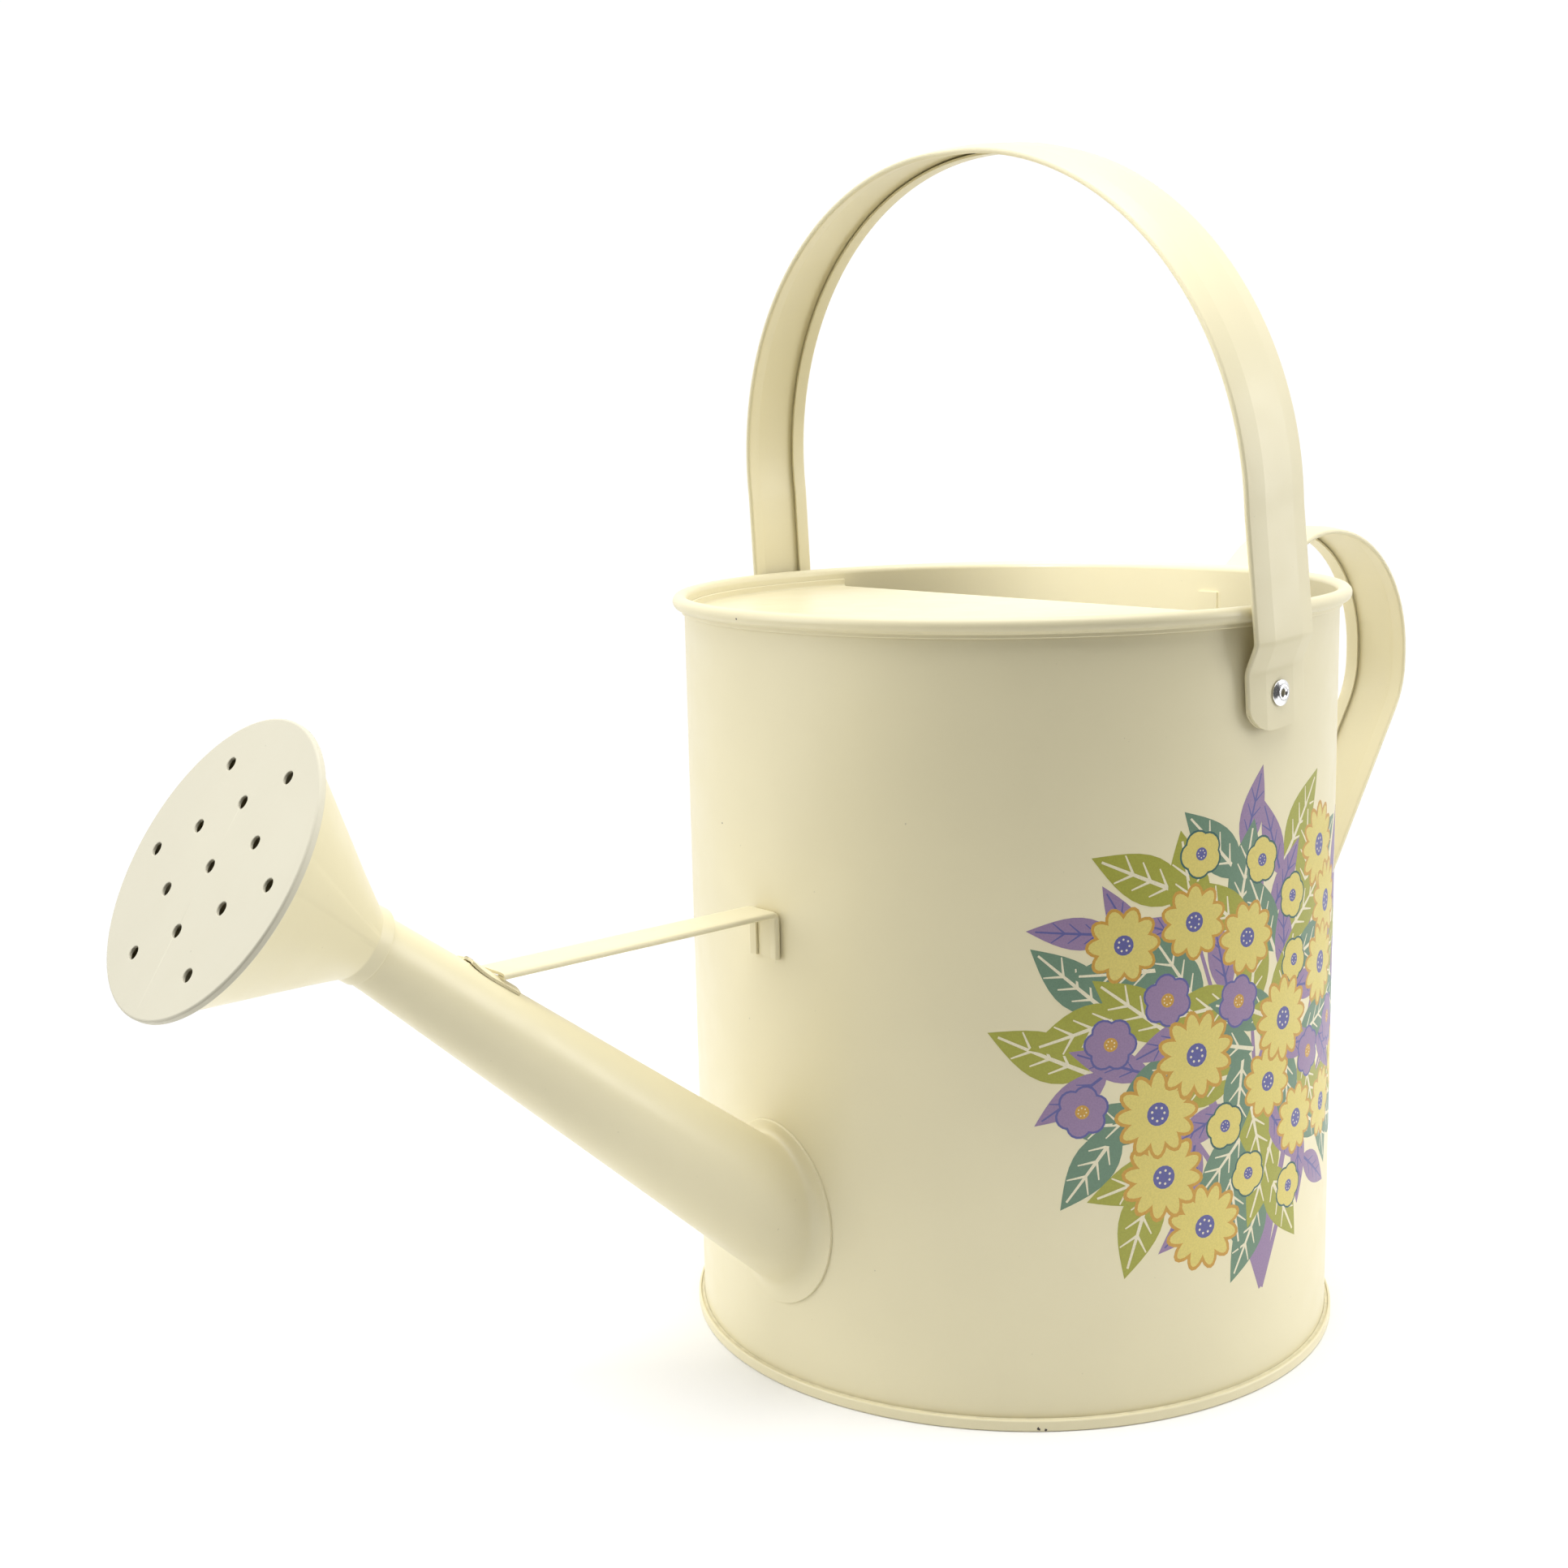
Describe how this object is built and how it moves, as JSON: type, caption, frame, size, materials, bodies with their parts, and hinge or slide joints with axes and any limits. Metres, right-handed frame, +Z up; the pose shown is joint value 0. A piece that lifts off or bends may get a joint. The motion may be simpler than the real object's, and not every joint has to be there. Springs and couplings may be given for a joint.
{
  "type": "watering can",
  "caption": "Sheet metal watering can with a rolled rim, half-moon splash guard, long braced spout with a flat rose, fixed rear handle and a swinging bail handle over the mouth",
  "frame": {"origin": "centre of the base, at floor level, on the axis of the drum", "axes": "+Z up along the drum's axis; the spout points along -X and the rear handle along +X; the bail's pivot line is parallel to Y"},
  "size_m": [0.4285, 0.1868, 0.3155],
  "materials": {
    "painted_steel": "satin cream powder coat",
    "steel_wire": "drawn",
    "seam_compound": "matt",
    "rivet_aluminium": "bright",
    "mandrel_steel": "snapped"
  },
  "bodies": {
    "can": {"body_shell": "painted_steel", "rim_wire": "steel_wire", "base_disc": "painted_steel", "base_seam_seal": "seam_compound", "splash_guard": "painted_steel", "spout_tube": "painted_steel", "rose_cone": "painted_steel", "rose_face": "painted_steel", "spout_brace": "painted_steel", "rear_handle": "painted_steel", "bail_rivet_left": "rivet_aluminium", "rivet_mandrel_left": "mandrel_steel", "bail_rivet_right": "rivet_aluminium", "rivet_mandrel_right": "mandrel_steel"},
    "bail": {"bail_handle": "painted_steel"}
  },
  "joints": [
    {"name": "bail_swing", "type": "hinge", "parent": "can", "child": "bail", "pos_m": [0, 0, 0.1794], "axis": [0, 1, 0], "range_deg": [-103, 76]}
  ]
}
